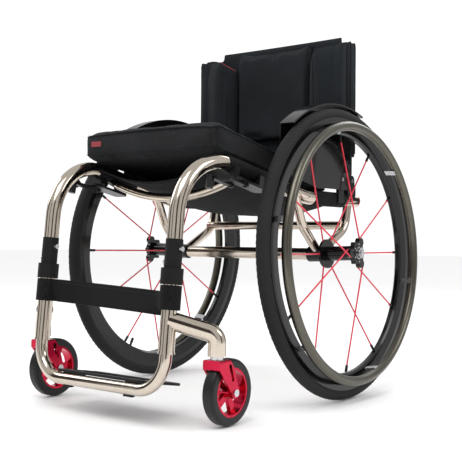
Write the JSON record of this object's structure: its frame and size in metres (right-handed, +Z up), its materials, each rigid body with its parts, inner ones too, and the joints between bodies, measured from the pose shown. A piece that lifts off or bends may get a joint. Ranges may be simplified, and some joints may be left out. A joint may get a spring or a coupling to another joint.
{
  "type": "manual wheelchair",
  "caption": "Rigid-frame manual wheelchair with cambered quick-release wheels, handrims, swivel casters, folding padded back, seat cushion and U-shaped footrest.",
  "frame": {"origin": "on the ground, at the middle of the chair's width and length", "axes": "+Z up, the chair's front faces -Y, +X is the sitter's left"},
  "size_m": [0.5964, 0.758, 0.775],
  "materials": {
    "titanium": "polished",
    "black_anodised": "anodised",
    "bearing_steel": "ground",
    "sleeve_rubber": "matt",
    "webbing": "woven",
    "cushion_fabric": "spacer mesh",
    "back_fabric": "knitted",
    "guard_black": "gloss",
    "footplate_black": "satin",
    "tyre_rubber": "matt",
    "caster_rubber": "smooth",
    "rim_black": "gloss black",
    "handrim_metal": "satin",
    "tab_metal": "brushed",
    "red_spoke": "satin",
    "nipple_black": "satin",
    "red_anodised": "anodised"
  },
  "bodies": {
    "frame": {"side_frames": "titanium", "axle_loops": "titanium", "axle_receivers": "black_anodised", "camber_tube": "titanium", "upper_crossbar": "titanium", "bowed_crossbar": "titanium", "caster_arms": "titanium", "swivel_bearings": "bearing_steel", "leg_bushings": "titanium", "leg_sleeves": "sleeve_rubber", "strap_collars": "sleeve_rubber", "leg_screws": "bearing_steel", "calf_strap": "webbing", "seat_sling": "webbing", "rail_sleeves": "webbing", "seat_cushion": "cushion_fabric", "side_guards": "guard_black", "guard_standoffs": "black_anodised", "axle_pins": "bearing_steel", "hinge_blocks": "black_anodised", "hinge_pins": "bearing_steel", "brake_brackets": "black_anodised"},
    "footrest": {"footrest_tube": "titanium", "footplate": "footplate_black", "plate_clamps": "black_anodised", "grip_strips": "sleeve_rubber"},
    "backrest": {"back_canes": "black_anodised", "rigidizer_bar": "black_anodised", "back_sling": "back_fabric", "back_pads": "back_fabric"},
    "rear_wheel_left": {"tyre_left": "tyre_rubber", "rim_left": "rim_black", "handrim_left": "handrim_metal", "handrim_tabs_left": "tab_metal", "spokes_left": "red_spoke", "nipples_left": "nipple_black", "hub_left": "rim_black", "hub_bearings_left": "bearing_steel"},
    "release_button_left": {"release_button_left": "bearing_steel"},
    "caster_left": {"caster_fork_left": "red_anodised", "caster_bolts_left": "bearing_steel"},
    "caster_wheel_left": {"caster_tyre_left": "caster_rubber", "caster_rim_left": "red_anodised"},
    "brake_lever_left": {"brake_lever_left": "black_anodised"},
    "brake_shoe_left": {"brake_shoe_left": "black_anodised"},
    "rear_wheel_right": {"tyre_right": "tyre_rubber", "rim_right": "rim_black", "handrim_right": "handrim_metal", "handrim_tabs_right": "tab_metal", "spokes_right": "red_spoke", "nipples_right": "nipple_black", "hub_right": "rim_black", "hub_bearings_right": "bearing_steel"},
    "release_button_right": {"release_button_right": "bearing_steel"},
    "caster_right": {"caster_fork_right": "red_anodised", "caster_bolts_right": "bearing_steel"},
    "caster_wheel_right": {"caster_tyre_right": "caster_rubber", "caster_rim_right": "red_anodised"},
    "brake_lever_right": {"brake_lever_right": "black_anodised"},
    "brake_shoe_right": {"brake_shoe_right": "black_anodised"}
  },
  "joints": [
    {"name": "footrest_height", "type": "slide", "parent": "frame", "child": "footrest", "axis": [0, 0.1011, 0.9949], "range_m": [-0.03, 0.005]},
    {"name": "backrest_fold", "type": "hinge", "parent": "frame", "child": "backrest", "pos_m": [0, 0.197, 0.452], "axis": [1, 0, 0], "range_deg": [0, 45]},
    {"name": "rear_wheel_spin_left", "type": "hinge", "parent": "frame", "child": "rear_wheel_left", "pos_m": [0.2454, 0.083, 0.29579], "axis": [0.9993, 0, 0.0384], "continuous": true},
    {"name": "release_press_left", "type": "slide", "parent": "frame", "child": "release_button_left", "axis": [-0.9993, 0, -0.0384], "range_m": [0, 0.003], "stiffness_N_per_m": 300},
    {"name": "caster_swivel_left", "type": "hinge", "parent": "frame", "child": "caster_left", "pos_m": [0.224, -0.3035, 0.1237], "axis": [0, 0, 1], "continuous": true},
    {"name": "caster_spin_left", "type": "hinge", "parent": "caster_left", "child": "caster_wheel_left", "pos_m": [0.224, -0.2735, 0.0585], "axis": [1, 0, 0], "continuous": true},
    {"name": "brake_lever_left", "type": "hinge", "parent": "frame", "child": "brake_lever_left", "pos_m": [0.194, -0.18556, 0.42518], "axis": [0, 0.209, 0.9779], "range_deg": [0, 70]},
    {"name": "brake_shoe_left", "type": "hinge", "parent": "frame", "child": "brake_shoe_left", "pos_m": [0.178, -0.20821, 0.4245], "axis": [0, 0.209, 0.9779], "range_deg": [0, 101]},
    {"name": "rear_wheel_spin_right", "type": "hinge", "parent": "frame", "child": "rear_wheel_right", "pos_m": [-0.2454, 0.083, 0.29579], "axis": [-0.9993, 0, 0.0384], "continuous": true},
    {"name": "release_press_right", "type": "slide", "parent": "frame", "child": "release_button_right", "axis": [0.9993, 0, -0.0384], "range_m": [0, 0.003], "stiffness_N_per_m": 300},
    {"name": "caster_swivel_right", "type": "hinge", "parent": "frame", "child": "caster_right", "pos_m": [-0.224, -0.3035, 0.1237], "axis": [0, 0, 1], "continuous": true},
    {"name": "caster_spin_right", "type": "hinge", "parent": "caster_right", "child": "caster_wheel_right", "pos_m": [-0.224, -0.2735, 0.0585], "axis": [1, 0, 0], "continuous": true},
    {"name": "brake_lever_right", "type": "hinge", "parent": "frame", "child": "brake_lever_right", "pos_m": [-0.194, -0.18556, 0.42518], "axis": [0, -0.209, -0.9779], "range_deg": [0, 70]},
    {"name": "brake_shoe_right", "type": "hinge", "parent": "frame", "child": "brake_shoe_right", "pos_m": [-0.178, -0.20821, 0.4245], "axis": [0, -0.209, -0.9779], "range_deg": [0, 101]}
  ],
  "couplings": [
    {"joint": "brake_shoe_left", "follows": "brake_lever_left", "ratio": 1.4429},
    {"joint": "brake_shoe_right", "follows": "brake_lever_right", "ratio": 1.4429}
  ]
}
